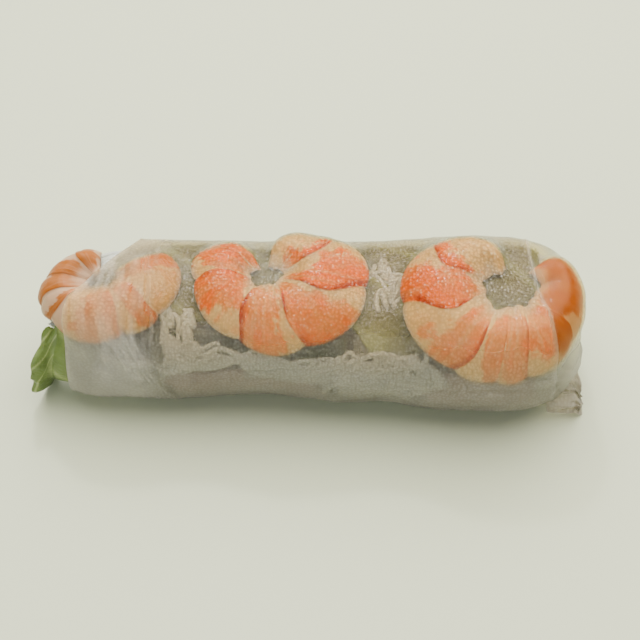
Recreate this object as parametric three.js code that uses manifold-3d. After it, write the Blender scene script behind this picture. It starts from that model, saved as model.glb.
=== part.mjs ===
// A Vietnamese rice paper roll, in millimetres, +Z up. It lies along X on its flattened underside, and
// the origin is the middle of its footprint. Three halved shrimps lie on a lettuce leaf and a bundle of
// rice vermicelli, with a baton of cucumber and two slices of beef, and wet rice paper is stretched over
// them all. The paper is open at the left, where a shrimp and the leaf stick out, and folded shut at the
// right.
import * as THREE from "three";
import { mergeVertices } from "three/addons/utils/BufferGeometryUtils.js";
import Module from "manifold-3d";

const wasm = await Module();
wasm.setup();

// ---- Driving dimensions -------------------------------------------------------------------------

const PAPER_THICKNESS = 0.8; // two turns of wet sheet
const PAPER_CLEARANCE = 0.5; // from the filling to the paper's inner face
const GAP = 0.3; // between neighbouring pieces

const HALF_WIDTH_LEFT = 20.4; // of the filling, without the shrimps and the paper
const HALF_WIDTH_RIGHT = 22.2;
const HEIGHT_SHARE = 0.88; // the roll sags under its own weight
const SQUARENESS = 2.2; // exponent of its superelliptic section
const FLATTENED = 2; // its underside is pressed flat by this much
// The rounded ends: where each starts, how far it reaches, its mean radius along the surface, and the
// power that its width falls off with, 1 for an ellipse and less for a blunter end.
const LEFT_END = { start: -42, reach: 29, arc: 24.5, power: 1 };
const RIGHT_END = { start: 50, reach: 19, arc: 20.2, power: 0.55 };
// The lower front is drawn in between the lumps of filling: at x, over a span each way, by a share.
const WAISTS = [
  { x: -11, span: 15, share: 0.1 },
  { x: 20, span: 8, share: 0.06 },
];
const WAIST = { theta: -30, span: 32 };
const CREST = 90; // degrees round the roll: 0 is the front, 90 the top, 180 the back
const GIRTH_RADIUS = 21; // turns a distance round the roll into an angle

const LEAF_THICKNESS = 1.5;
const LEAF_DEPTH = 1.35; // of its middle under the filling's surface
const LEAF_WAVE = 0.35;
const NOODLE_RADIUS = 1;
const NOODLE_DEPTH = 2.2;
const CORE_DEPTH = 2.9;
const BEEF_THICKNESS = 2.2;
const BEEF_DEPTH = 1.5;
const CUCUMBER_DEPTH = 8;
const SKIN_DEPTH = 0.3; // how far the cucumber's skin lies under the filling's surface
const SHRIMP_THICKNESS = 4.4; // what stands over the filling

const RAD = Math.PI / 180;
const POLE = 0.004; // radians short of an end's tip, where the surface still has a direction

// ---- Small maths --------------------------------------------------------------------------------

const clamp = (v, low, high) => Math.min(high, Math.max(low, v));
const mix = (a, b, t) => a + (b - a) * t;
const smooth = (a, b, v) => {
  const t = clamp((v - a) / (b - a), 0, 1);
  return t * t * (3 - 2 * t);
};
const bump = (v, centre, width) => Math.exp(-(((v - centre) / width) ** 2));
const middle = (points) =>
  points.reduce((sum, p) => sum.add(p), new THREE.Vector3()).divideScalar(points.length);

function seeded(seed) {
  let state = seed;
  return (low, high) => {
    state = (state * 1664525 + 1013904223) % 4294967296;
    return mix(low, high, state / 4294967296);
  };
}

// ---- The filling's surface, which every piece is laid on ----------------------------------------

const halfWidth = (x) => mix(HALF_WIDTH_LEFT, HALF_WIDTH_RIGHT, smooth(0, 46, x));
const sLeft = LEFT_END.start - LEFT_END.arc * (Math.PI / 2 - POLE);
const sRight = RIGHT_END.start + RIGHT_END.arc * (Math.PI / 2 - POLE);
const PAPER_TOP = PAPER_CLEARANCE + PAPER_THICKNESS;

// s runs along the roll's surface, round both ends, and is x on the straight part.
function alongRoll(s) {
  if (s > RIGHT_END.start) {
    const psi = (s - RIGHT_END.start) / RIGHT_END.arc;
    const share = Math.cos(psi) ** RIGHT_END.power;
    return { x: RIGHT_END.start + RIGHT_END.reach * Math.sin(psi), share };
  }
  if (s < LEFT_END.start) {
    const psi = (LEFT_END.start - s) / LEFT_END.arc;
    const share = Math.cos(psi) ** LEFT_END.power;
    return { x: LEFT_END.start - LEFT_END.reach * Math.sin(psi), share };
  }
  return { x: s, share: 1 };
}

function surfacePoint(s, theta) {
  const { x, share } = alongRoll(s);
  const a = halfWidth(x);
  const b = a * HEIGHT_SHARE;
  const c = Math.cos(theta * RAD);
  const n = Math.sin(theta * RAD);
  const drawnIn = WAISTS.reduce((sum, waist) => sum + waist.share * bump(x, waist.x, waist.span), 0);
  const radius =
    share *
    (1 - drawnIn * bump(theta, WAIST.theta, WAIST.span)) *
    (Math.abs(c / a) ** SQUARENESS + Math.abs(n / b) ** SQUARENESS) ** (-1 / SQUARENESS);
  return new THREE.Vector3(x, -radius * c, b + PAPER_TOP - FLATTENED + radius * n);
}

// A point at height h above the filling's surface. The plate under the roll presses its layers flat,
// each on the one below it, so none comes lower than its floor.
function point(s, theta, h, floor = PAPER_TOP - h) {
  const step = 0.02;
  const at = clamp(s, sLeft, sRight);
  const along = surfacePoint(Math.min(at + step, sRight), theta).sub(
    surfacePoint(Math.max(at - step, sLeft), theta),
  );
  const round = surfacePoint(at, theta + 0.1).sub(surfacePoint(at, theta - 0.1));
  const normal = new THREE.Vector3().crossVectors(along, round).normalize();
  const p = surfacePoint(at, theta).addScaledVector(normal, h);
  p.z = Math.max(p.z, floor);
  return p;
}

// ---- Solids from grids of points ----------------------------------------------------------------

// Rings of points, each ring closed, make a closed skin if the first and last rings are pinched flat.
function skin(rings) {
  const n = rings[0].length;
  const geometry = new THREE.BufferGeometry();
  geometry.setAttribute(
    "position",
    new THREE.Float32BufferAttribute(rings.flat().flatMap((p) => [p.x, p.y, p.z]), 3),
  );
  const index = [];
  for (let i = 0; i + 1 < rings.length; i++) {
    for (let j = 0; j < n; j++) {
      const [a, b] = [i * n + j, i * n + ((j + 1) % n)];
      const [c, d] = [a + n, b + n];
      index.push(a, b, d, a, d, c);
    }
  }
  geometry.setIndex(index);
  return geometry;
}

// Flat ends: each end ring is closed by a fan round its middle.
const capped = (rings) => {
  const [first, last] = [rings[0], rings.at(-1)];
  return skin([first.map(() => middle(first)), ...rings, last.map(() => middle(last))]);
};

// A geometry as a solid: vertices merged, slivers with a repeated corner dropped, faces turned outwards.
function solid(geometry) {
  const plain = new THREE.BufferGeometry().setAttribute("position", geometry.getAttribute("position"));
  plain.setIndex(geometry.index);
  const merged = mergeVertices(plain, 1e-3);
  const triangles = [];
  for (let i = 0; i < merged.index.count; i += 3) {
    const [a, b, c] = [0, 1, 2].map((k) => merged.index.getX(i + k));
    if (a !== b && b !== c && c !== a) triangles.push(a, b, c);
  }
  const build = (triVerts) =>
    new wasm.Manifold(
      new wasm.Mesh({ numProp: 3, vertProperties: merged.attributes.position.array, triVerts }),
    );
  const made = build(new Uint32Array(triangles));
  return made.volume() > 0 ? made : build(new Uint32Array(triangles.reverse()));
}

// A thin slab with both faces split alike and its edge pinched. at(u, v, side) gives a point of its
// upper face for side 1, of its lower face for side -1, and of its edge for side 0.
function slab(along, across, at) {
  const rings = [];
  for (let i = 0; i <= along; i++) {
    const spot = (j, side) => {
      const edge = i === 0 || i === along || j === 0 || j === across;
      return at(i / along, j / across, edge ? 0 : side);
    };
    const ring = [];
    for (let j = 0; j <= across; j++) ring.push(spot(j, -1));
    for (let j = across - 1; j > 0; j--) ring.push(spot(j, 1));
    rings.push(ring);
  }
  return skin(rings);
}

// ---- Shrimps ------------------------------------------------------------------------------------

// A boiled shrimp curls round its belly, and is halved along its length, so each half is a ring with a
// domed back. s and round place the middle of its curl, round being the distance up from the crest.
// ends holds the angle at which each tail segment ends, from the head, anticlockwise from +X, and
// reach is how far the back lies from the middle of the curl there.
const SHRIMPS = {
  shrimp_left: {
    s: -50.5, round: -3, belly: 3,
    ends: [95, 130, 165, 212, 250, 295, 335, 400],
    reach: [15, 17.5, 19, 20, 20, 18.2, 19, 18.5],
  },
  shrimp_middle: {
    s: -10.4, round: -0.8, belly: 3.7,
    ends: [95, 30, -26, -71, -116, -168, -215, -248],
    reach: [19, 25.5, 26.8, 23.6, 22, 19.5, 20, 17],
  },
  shrimp_right: {
    s: 51, round: -5, belly: 6.5,
    ends: [92, 150, 194, 235, 262, 282, 338, 410],
    reach: [17.5, 26.5, 28.5, 26, 25, 23.5, 23.5, 23],
  },
};
const SEGMENT_STEPS = 5;
const SHRIMP_COLUMNS = 6;
const NOTCH = 0.9; // of the back's outline, where two segments meet
const SHELL_STEP = 0.5; // from the end of one segment's shell down to the next one

// Which segment an angle is in, and how far through it.
function segmentAt(ends, angle) {
  const way = Math.sign(ends[1] - ends[0]);
  const found = ends.findIndex((end, i) => i > 0 && (angle - end) * way <= 0);
  const last = found < 0 ? ends.length - 1 : found;
  const through = clamp((angle - ends[last - 1]) / (ends[last] - ends[last - 1]), 0, 1);
  return { last, through };
}

function shrimpReach({ ends, reach }, angle) {
  const { last, through } = segmentAt(ends, angle);
  const notch = NOTCH * (1 - Math.sqrt(Math.sin(Math.PI * through)));
  return mix(reach[last - 1], reach[last], smooth(0, 1, through)) - notch;
}

// How high the shrimp's back stands over the filling, t being 0 at the belly and 1 at the back's edge.
function shrimpHeight({ ends }, angle, t) {
  const share = clamp((angle - ends[0]) / (ends.at(-1) - ends[0]), 0, 1);
  const dome = Math.sin(Math.PI * clamp(t, 0, 1) ** 0.8) ** 0.5 * mix(0.45, 1, smooth(0, 0.35, t));
  const end = Math.sqrt(1 - (1 - clamp(Math.min(share, 1 - share) / 0.08, 0, 1)) ** 2);
  const shell = SHELL_STEP * (segmentAt(ends, angle).through - 0.5);
  return GAP + (SHRIMP_THICKNESS * mix(1, 0.72, share) + shell) * dome * end;
}

const shrimpPlace = (shrimp, angle, radius) => ({
  s: shrimp.s + radius * Math.cos(angle * RAD),
  theta: CREST + (shrimp.round + radius * Math.sin(angle * RAD)) / GIRTH_RADIUS / RAD,
});

function shrimpSkin(shrimp) {
  const { ends, belly } = shrimp;
  return slab(SEGMENT_STEPS * (ends.length - 1), SHRIMP_COLUMNS, (u, v, side) => {
    const at = u * (ends.length - 1);
    const segment = Math.min(Math.floor(at + 1e-9), ends.length - 2);
    const angle = mix(ends[segment], ends[segment + 1], at - segment);
    const t = (1 - Math.cos(Math.PI * v)) / 2;
    const { s, theta } = shrimpPlace(shrimp, angle, mix(belly, shrimpReach(shrimp, angle), t));
    return point(s, theta, side > 0 ? shrimpHeight(shrimp, angle, t) : GAP);
  });
}

// The height of whichever shrimp lies at (s, theta), or 0 where none does.
function shrimpOver(s, theta) {
  const heights = Object.values(SHRIMPS).map((shrimp) => {
    const { ends, belly } = shrimp;
    const across = s - shrimp.s;
    const up = (theta - CREST) * RAD * GIRTH_RADIUS - shrimp.round;
    const low = Math.min(ends[0], ends.at(-1));
    const degrees = Math.atan2(up, across) / RAD;
    const angle = low + ((((degrees - low) % 360) + 360) % 360);
    if (angle > Math.max(ends[0], ends.at(-1))) return 0;
    const t = (Math.hypot(across, up) - belly) / (shrimpReach(shrimp, angle) - belly);
    return t > 0 && t < 1 ? shrimpHeight(shrimp, angle, t) : 0;
  });
  return Math.max(...heights);
}

// ---- Rice paper ---------------------------------------------------------------------------------

// The sheet's open edge runs round the left end, set back over the top and underneath.
const openEdge = (theta) => -58.7 + 14.5 * bump(theta, 140, 58) + 4 * bump(theta, -38, 32);
const topEdge = (theta) => mix(63.6, 53.8, smooth(-20, 110, theta)); // where the upper turn ends
const PAPER_ROWS = 34;
const PAPER_COLUMNS = 34;
const DRAWING_PASSES = 12;
const DRAWN_IN = 0.9; // how far each pass draws the sheet down onto the filling

const paperPlace = (i, j) => {
  const theta = (360 * j) / PAPER_COLUMNS - 90;
  return { theta, s: mix(sRight, openEdge(theta), i / PAPER_ROWS) };
};

// The sheet is drawn tight: it rests on what stands proud and spans what lies between.
function paperHeights() {
  const rest = [];
  for (let i = 0; i <= PAPER_ROWS; i++) {
    rest.push([]);
    for (let j = 0; j < PAPER_COLUMNS; j++) {
      const near = [-0.5, 0, 0.5].flatMap((di) => [-0.5, 0, 0.5].map((dj) => paperPlace(i + di, j + dj)));
      rest[i].push(Math.max(...near.map(({ s, theta }) => shrimpOver(s, theta))));
    }
  }
  const columns = PAPER_COLUMNS;
  let height = rest.map((row) => [...row]);
  for (let pass = 0; pass < DRAWING_PASSES; pass++) {
    const tip = height[1].reduce((a, b) => a + b) / columns;
    height = height.map((row, i) =>
      row.map((h, j) => {
        if (i === 0) return tip;
        const round = (row[(j + 1) % columns] + row[(j + columns - 1) % columns]) / 2;
        const along = (height[i - 1][j] + height[Math.min(i + 1, PAPER_ROWS)][j]) / 2;
        return Math.max(rest[i][j], (DRAWN_IN * (round + along)) / 2);
      }),
    );
  }
  return height;
}

function paperSkin() {
  const height = paperHeights();
  const ring = (i, outer) => {
    const points = height[i].map((h, j) => {
      const { s, theta } = paperPlace(i, j);
      const thickness = PAPER_THICKNESS * mix(1, 0.6, smooth(0, 2, s - topEdge(theta)));
      const lift = outer ? thickness : 0;
      return point(s, theta, h + PAPER_CLEARANCE + lift, PAPER_THICKNESS - lift);
    });
    return i > 0 ? points : points.map(() => middle(points)); // the right end's tip is a single point
  };
  const rows = [...height.keys()];
  return skin([...rows.map((i) => ring(i, true)), ...rows.reverse().map((i) => ring(i, false))]);
}

// The sheet's corner is folded under the right end, and its pleats spread from there onto the plate.
const TAIL = { at: new THREE.Vector3(62.6, -10, 4), reach: 9.5, width: 8, height: 4, pleats: 7, turn: 1.5 };
const TAIL_STEPS = 8;
const TAIL_SIDES = 28;
function paperTail() {
  const rings = [];
  for (let i = 0; i <= TAIL_STEPS; i++) {
    const u = i / TAIL_STEPS;
    const spread = Math.sqrt(1 - (0.9 * u) ** 4);
    const ring = [];
    for (let j = 0; j < TAIL_SIDES; j++) {
      const angle = (2 * Math.PI * j) / TAIL_SIDES;
      const pleat = spread * (1 + 0.2 * u * Math.cos(TAIL.pleats * angle + TAIL.turn * u));
      const y = TAIL.width * pleat * Math.cos(angle);
      const z = Math.max(TAIL.height * pleat * Math.sin(angle), -TAIL.at.z);
      ring.push(new THREE.Vector3(TAIL.reach * u, y, z).add(TAIL.at));
    }
    rings.push(ring);
  }
  return capped(rings);
}

// ---- Filling ------------------------------------------------------------------------------------

// The lettuce leaf lies under the shrimps along the whole roll. Its lower edge comes further down in
// front at the right, and at the left, where its frilled tip sticks out and droops to the plate.
const LEAF = { start: -62.8, end: 60, tip: 8, droop: 3, flare: 0.3, back: 160, rows: 30, tipRows: 6 };
const leafFront = (s) => 48 - 24 * smooth(10, 18, s) - 78 * smooth(-48, -60, s);
const leafBack = (s) => LEAF.back - 118 * smooth(-50, -61, s);

function leafPoint(u, v, side) {
  const tipShare = LEAF.tipRows / LEAF.rows;
  const tip = clamp(1 - u / tipShare, 0, 1); // 0 in the paper, 1 at the tip's edge
  const s = tip > 0 ? LEAF.start : mix(LEAF.start, LEAF.end, (u - tipShare) / (1 - tipShare));
  const theta = mix(leafFront(s), leafBack(s), v);
  const frill = 1.1 * tip * Math.sin(2 * Math.PI * (2.6 * v + 0.5 * tip));
  const wave = LEAF_WAVE * Math.sin(1.1 * LEAF.rows * u) * Math.cos(0.11 * theta) + frill;
  const p = point(s, theta, -LEAF_DEPTH + wave + (side * LEAF_THICKNESS) / 2);
  const outwards = 1 + LEAF.flare * tip;
  const centre = halfWidth(s) * HEIGHT_SHARE;
  p.x -= LEAF.tip * tip * mix(0.45, 1, Math.sin(Math.PI * v)); // its edge is rounded
  p.y *= outwards;
  p.z = Math.max(centre + (p.z - centre) * outwards - LEAF.droop * tip, 0.8 + (side * LEAF_THICKNESS) / 2);
  return p;
}

// A baton of cucumber along the front, its dark skin outwards. Its ends are cut square.
const CUCUMBER = { start: -40, end: 10, front: 19, back: 43 };
function cucumberSkin(grown = 0) {
  const { start, end, front, back } = CUCUMBER;
  const degrees = grown / 17 / RAD;
  const rings = [];
  for (let i = 0; i <= 12; i++) {
    const s = mix(start - grown, end + grown, i / 12);
    const ring = [];
    for (let j = 0; j <= 5; j++) {
      ring.push(point(s, mix(front - degrees, back + degrees, j / 5), grown - SKIN_DEPTH));
    }
    ring.push(point(s, back + degrees, -CUCUMBER_DEPTH - grown));
    ring.push(point(s, front - degrees, -CUCUMBER_DEPTH - grown));
    rings.push(ring);
  }
  return capped(rings);
}

// Two thin slices of beef lie along the front, under the paper.
const BEEF = {
  beef_left: { start: -34, end: 4, front: -58, back: 8 },
  beef_right: { start: 30, end: 60, front: -62, back: 12 },
};
function beefSkin({ start, end, front, back }, grown = 0) {
  return slab(12, 8, (u, v, side) => {
    const uneven = 1.2 * Math.sin(7 * u + start);
    const s = mix(start - grown, end + grown, u) + 1.5 * Math.sin(9 * v + end);
    const theta = mix(front - 2 * grown, back + 2 * grown, v) + 3 * uneven * (v - 0.3);
    return point(s, theta, -BEEF_DEPTH + (side * (BEEF_THICKNESS + 2 * grown)) / 2);
  });
}

// The vermicelli fills the rest: a core, with the strands that show lying on it.
const CORE = { start: -66, end: 65.5, steps: 25, sides: 18, relief: 0.2 };
function coreSkin() {
  const rings = [];
  const { start, end, steps, sides, relief } = CORE;
  for (let i = 0; i <= steps; i++) {
    const s = mix(start, end, i / steps);
    const depth = CORE_DEPTH + 2.5 * smooth(-46, -58, s); // room for the leaf where it turns forwards
    const ring = [];
    for (let j = 0; j < sides; j++) {
      ring.push(point(s, (360 * j) / sides, -depth - relief * Math.sin(2.3 * i + 1.7 * j)));
    }
    rings.push(ring);
  }
  return capped(rings);
}

// Each strand wanders along the roll, and stops short of the leaf, the beef and the cucumber.
const STRAND_ROWS = [
  { start: -36, end: 28, low: 13.5, high: 13.5, count: 1 },
  { start: 8, end: 26, low: -52, high: 7, count: 5 },
  { start: -46, end: -38, low: -40, high: 14, count: 3 },
];
const STRAND_SIDES = 6;
function strandSkin(start, end, theta, random) {
  const steps = Math.round((end - start) / 2.4);
  const [sway, phase] = [random(1.5, 3.5), random(0, 2 * Math.PI)];
  const path = [];
  for (let i = 0; i <= steps; i++) {
    const s = mix(start, end, i / steps);
    path.push(point(s, theta + sway * Math.sin(0.22 * s + phase), -NOODLE_DEPTH));
  }
  const curve = new THREE.CatmullRomCurve3(path);
  const section = new THREE.Shape();
  for (let i = 0; i < STRAND_SIDES; i++) {
    const angle = (2 * Math.PI * i) / STRAND_SIDES;
    const [x, y] = [NOODLE_RADIUS * Math.cos(angle), NOODLE_RADIUS * Math.sin(angle)];
    if (i === 0) section.moveTo(x, y);
    else section.lineTo(x, y);
  }
  section.closePath();
  return new THREE.ExtrudeGeometry(section, { steps, extrudePath: curve, bevelEnabled: false });
}

function vermicelli() {
  const random = seeded(5);
  let made = solid(coreSkin());
  for (const { start, end, low, high, count } of STRAND_ROWS) {
    for (let k = 0; k < count; k++) {
      const theta = mix(low, high, count > 1 ? k / (count - 1) : 0.5);
      made = made.add(solid(strandSkin(start + random(-1.5, 1.5), end + random(-1.5, 1.5), theta, random)));
    }
  }
  made = made.subtract(solid(cucumberSkin(GAP + 0.1)));
  for (const slice of Object.values(BEEF)) made = made.subtract(solid(beefSkin(slice, 2 * GAP)));
  return made.decompose().reduce((best, piece) => (piece.volume() > best.volume() ? piece : best));
}

// ---- The roll -----------------------------------------------------------------------------------

function piece(name, made, colour, roughness) {
  const { vertProperties, triVerts } = made.getMesh();
  const geometry = new THREE.BufferGeometry();
  geometry.setAttribute("position", new THREE.BufferAttribute(vertProperties, 3));
  geometry.setIndex(new THREE.BufferAttribute(triVerts, 1));
  geometry.computeVertexNormals();
  const material = new THREE.MeshStandardMaterial({ color: colour, roughness, metalness: 0 });
  const mesh = new THREE.Mesh(geometry, material);
  mesh.name = name;
  return mesh;
}

const group = new THREE.Group();
group.add(piece("rice_paper", solid(paperSkin()).add(solid(paperTail())), 0xb5ab96, 0.25));
for (const [name, shrimp] of Object.entries(SHRIMPS)) {
  group.add(piece(name, solid(shrimpSkin(shrimp)), 0xe08a52, 0.4));
}
group.add(piece("lettuce", solid(slab(LEAF.rows, 12, leafPoint)), 0x6f7d45, 0.5));
group.add(piece("cucumber", solid(cucumberSkin()), 0x41512f, 0.4));
for (const [name, slice] of Object.entries(BEEF)) {
  group.add(piece(name, solid(beefSkin(slice)), 0x8a6f5c, 0.6));
}
group.add(piece("vermicelli", vermicelli(), 0xc9c6b4, 0.35));

// The origin is moved to the middle of the footprint.
const box = new THREE.Box3().setFromObject(group);
const footprint = box.getCenter(new THREE.Vector3()).setZ(box.min.z);
for (const part of group.children) part.position.copy(footprint).negate();

export default group;
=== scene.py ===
"""A Vietnamese rice paper roll on a pale surface: shrimps, lettuce, cucumber, beef and rice vermicelli
under wet, translucent rice paper. Lengths are in millimetres until a piece's mesh is placed."""
import math

import bmesh
import bpy
import numpy as np
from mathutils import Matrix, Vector, noise


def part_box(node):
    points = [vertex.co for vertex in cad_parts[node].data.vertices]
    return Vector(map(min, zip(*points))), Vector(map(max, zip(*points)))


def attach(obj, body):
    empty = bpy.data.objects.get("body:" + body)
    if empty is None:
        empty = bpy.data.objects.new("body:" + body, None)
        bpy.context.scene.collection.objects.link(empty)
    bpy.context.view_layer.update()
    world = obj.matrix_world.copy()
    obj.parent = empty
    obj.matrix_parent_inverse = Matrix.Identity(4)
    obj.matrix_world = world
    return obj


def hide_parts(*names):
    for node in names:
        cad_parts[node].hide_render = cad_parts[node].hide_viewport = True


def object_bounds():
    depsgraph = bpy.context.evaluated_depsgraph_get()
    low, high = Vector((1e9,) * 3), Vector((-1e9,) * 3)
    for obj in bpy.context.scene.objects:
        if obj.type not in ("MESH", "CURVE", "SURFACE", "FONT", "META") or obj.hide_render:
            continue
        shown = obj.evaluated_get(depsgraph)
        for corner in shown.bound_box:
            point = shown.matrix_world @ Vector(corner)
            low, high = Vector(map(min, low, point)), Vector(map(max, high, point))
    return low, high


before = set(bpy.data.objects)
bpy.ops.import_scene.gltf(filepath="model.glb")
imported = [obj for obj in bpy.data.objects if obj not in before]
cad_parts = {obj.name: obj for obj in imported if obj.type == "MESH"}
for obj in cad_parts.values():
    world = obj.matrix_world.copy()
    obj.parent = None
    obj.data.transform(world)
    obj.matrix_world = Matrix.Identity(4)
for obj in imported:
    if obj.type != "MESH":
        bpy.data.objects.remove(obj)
cad_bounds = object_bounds()


# ---- Vermicelli ---------------------------------------------------------------------------------
# The bundle of boiled rice vermicelli is the roll's bed. It is a soft mass of slippery white strands,
# each about 1.6 mm thick, pressed together by the paper and lying mostly along the roll.

# The filling's surface, which every piece is laid on. s runs along the roll and round its two
# elliptic ends; theta is 0 in front, 90 on top and 180 behind, and h is the height over the surface.
HALF_WIDTH_LEFT, HALF_WIDTH_RIGHT = 20.4, 22.2
WIDER_FROM, WIDER_TO = 0.0, 46.0  # where the roll grows to its width at the right
HEIGHT_SHARE = 0.88  # of the width
SQUARENESS = 2.2  # the power of the section's oval
FLATTENED = 2.0  # how far the underside is pressed flat
PAPER_TOP = 1.3  # the filling's lowest place over the plate
# Each end starts at x and reaches on. ARC is the millimetres of s per radian of its curve, and a lower
# POWER makes it blunter.
LEFT_START, LEFT_REACH, LEFT_ARC, LEFT_POWER = -42.0, 29.0, 24.5, 1.0
RIGHT_START, RIGHT_REACH, RIGHT_ARC, RIGHT_POWER = 50.0, 19.0, 20.2, 0.55
# The lower front is drawn in between the lumps of filling: at x, over a span each way, by a share.
WAISTS = [(-11.0, 15.0, 0.1), (20.0, 8.0, 0.06)]
WAIST_THETA, WAIST_SPAN = -30.0, 32.0
CREST = 90.0
GIRTH_RADIUS = 21.0  # turns radians round the roll into millimetres
DEGREE = 0.37  # about a degree's width there
POLE = 0.004  # radians left open at each end's pole, where the surface has no normal
TINY = 1e-6  # metres, or shares of a grid
S_LEFT = LEFT_START - LEFT_ARC * (math.pi / 2 - POLE)
S_RIGHT = RIGHT_START + RIGHT_ARC * (math.pi / 2 - POLE)


def smooth(low, high, value):
    t = np.clip((value - low) / (high - low), 0.0, 1.0)
    return t * t * (3.0 - 2.0 * t)


def mix(a, b, t):
    return a + (b - a) * t


def bump(value, centre, width):
    return np.exp(-(((value - centre) / width) ** 2))


def half_width(x):
    return mix(HALF_WIDTH_LEFT, HALF_WIDTH_RIGHT, smooth(WIDER_FROM, WIDER_TO, x))


def surface(s, theta):
    """Points on the filling's surface."""
    right = np.clip((s - RIGHT_START) / RIGHT_ARC, 0.0, None)
    left = np.clip((LEFT_START - s) / LEFT_ARC, 0.0, None)
    x = np.clip(s, LEFT_START, RIGHT_START)
    x = x + RIGHT_REACH * np.sin(right) - LEFT_REACH * np.sin(left)
    share = np.cos(right) ** RIGHT_POWER * np.cos(left) ** LEFT_POWER
    drawn_in = sum(part * bump(x, at, span) for at, span, part in WAISTS)
    share = share * (1 - drawn_in * bump(theta, WAIST_THETA, WAIST_SPAN))
    wide = half_width(x)
    tall = wide * HEIGHT_SHARE
    cosine, sine = np.cos(np.radians(theta)), np.sin(np.radians(theta))
    oval = np.abs(cosine / wide) ** SQUARENESS + np.abs(sine / tall) ** SQUARENESS
    radius = share * oval ** (-1.0 / SQUARENESS)
    return np.stack([x, -radius * cosine, tall + PAPER_TOP - FLATTENED + radius * sine], axis=-1)


def on_roll(s, theta, h, floor=None):
    """Points at height h over the filling's surface, none lower than its layer's floor on the plate."""
    s, theta, h = np.broadcast_arrays(np.asarray(s, float), theta, h)
    at = np.clip(s, S_LEFT, S_RIGHT)
    step = 0.02
    ahead = surface(np.minimum(at + step, S_RIGHT), theta)
    along = ahead - surface(np.maximum(at - step, S_LEFT), theta)
    around = surface(at, theta + 0.1) - surface(at, theta - 0.1)
    normal = np.cross(along, around)
    normal /= np.linalg.norm(normal, axis=-1, keepdims=True)
    points = surface(at, theta) + normal * h[..., None]
    points[..., 2] = np.maximum(points[..., 2], PAPER_TOP - h if floor is None else floor)
    return points


# The frame's origin is the middle of the footprint, so the cucumber's front edge tells the shift.
CUCUMBER_START, CUCUMBER_END = -40.0, 10.0
CUCUMBER_FRONT, CUCUMBER_BACK = 19.0, 43.0
CUCUMBER_DEPTH, SKIN_DEPTH = 8.0, 0.3
MM = 0.001
low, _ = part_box("cucumber")
front_edge = on_roll(np.linspace(CUCUMBER_START, CUCUMBER_END, 100), CUCUMBER_FRONT, -SKIN_DEPTH)
SHIFT = Vector((low[0] / MM - CUCUMBER_START, low[1] / MM - front_edge[:, 1].min(), 0.0))


def bent_grid(name, columns, rows, place):
    """A grid bent into a closed skin. place(u, v) gives its points and its surface's attributes."""
    bm = bmesh.new()
    bmesh.ops.create_grid(bm, x_segments=columns, y_segments=rows, size=0.5)
    mesh = bpy.data.meshes.new(name)
    bm.to_mesh(mesh)
    flat = np.empty(len(mesh.vertices) * 3)
    mesh.vertices.foreach_get("co", flat)
    flat = flat.reshape(-1, 3) + 0.5
    points, attributes = place(flat[:, 0], flat[:, 1])
    mesh.vertices.foreach_set("co", ((points + np.array(SHIFT)) * MM).ravel())
    for key, values in attributes.items():
        layer = mesh.attributes.new(key, "FLOAT", "POINT")
        layer.data.foreach_set("value", np.ascontiguousarray(values, dtype=np.float32))
    bm.clear()
    bm.from_mesh(mesh)
    bmesh.ops.remove_doubles(bm, verts=bm.verts, dist=TINY)
    bmesh.ops.recalc_face_normals(bm, faces=bm.faces)
    bm.to_mesh(mesh)
    bm.free()
    mesh.shade_smooth()
    piece = bpy.data.objects.new(name, mesh)
    bpy.context.collection.objects.link(piece)
    return piece


def close_ends(points, u):
    """Draws the first and the last column of a grid together, each into one point."""
    for end in (u < TINY, u > 1 - TINY):
        points[end] = points[end].mean(0)
    return points


def two_sides(v):
    """How far across a slice each v is, under it and back over it, and on which side."""
    return np.where(v < 0.5, 2 * v, 2 - 2 * v), np.where(v < 0.5, -1.0, 1.0)


def roughly(points, size, seed=0.0):
    """Smooth noise, about -1 to 1, with features of the given size in millimetres."""
    return np.array([noise.noise((Vector(p) / size) + Vector((seed, 0, 0))) for p in points])


def colour(code):
    """An sRGB hex value as a linear colour."""
    parts = [int(code[i:i + 2], 16) / 255.0 for i in (1, 3, 5)]
    return [p / 12.92 if p <= 0.04045 else ((p + 0.055) / 1.055) ** 2.4 for p in parts] + [1.0]


def add(tree, kind, inputs=None, **settings):
    """Adds a node with its settings and its inputs, which are values or other nodes' sockets."""
    node = tree.nodes.new("ShaderNode" + kind)
    for key, value in settings.items():
        setattr(node, key, value)
    for key, value in (inputs or {}).items():
        if isinstance(value, bpy.types.NodeSocket):
            tree.links.new(value, node.inputs[key])
        else:
            node.inputs[key].default_value = value
    return node


def finish(name, build):
    """A material whose build(tree) returns its surface shader's socket."""
    made = bpy.data.materials.new(name)
    made.use_nodes = True
    tree = made.node_tree
    tree.nodes.clear()
    add(tree, "OutputMaterial", {"Surface": build(tree)})
    return made


def dress(piece, made, node_names):
    """Gives a piece its material, and tells which of the part's nodes it takes the place of."""
    piece.data.materials.append(made)
    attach(piece, "root")
    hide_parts(*node_names)


STRAND_RADIUS = 0.8
# How deep under the filling's surface each layer over the strands reaches, and how far they keep from
# it, along the roll in millimetres and round it in degrees.
LEAF_LOW, LEAF_MARGIN = 2.6, 4.0
BEEF_LOW, BEEF_MARGIN_ALONG, BEEF_MARGIN_ROUND = 2.9, 3.0, 6.0
CUCUMBER_LOW, CUCUMBER_MARGIN_ALONG, CUCUMBER_MARGIN_ROUND = CUCUMBER_DEPTH + 0.5, 1.5, 4.0
LEAF_START, LEAF_END, LEAF_BACK = -62.8, 60.0, 160.0
BEEF_SLICES = {
    "beef_left": dict(start=-34.0, end=4.0, front=-58.0, back=8.0),
    "beef_right": dict(start=30.0, end=60.0, front=-62.0, back=12.0),
}


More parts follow.
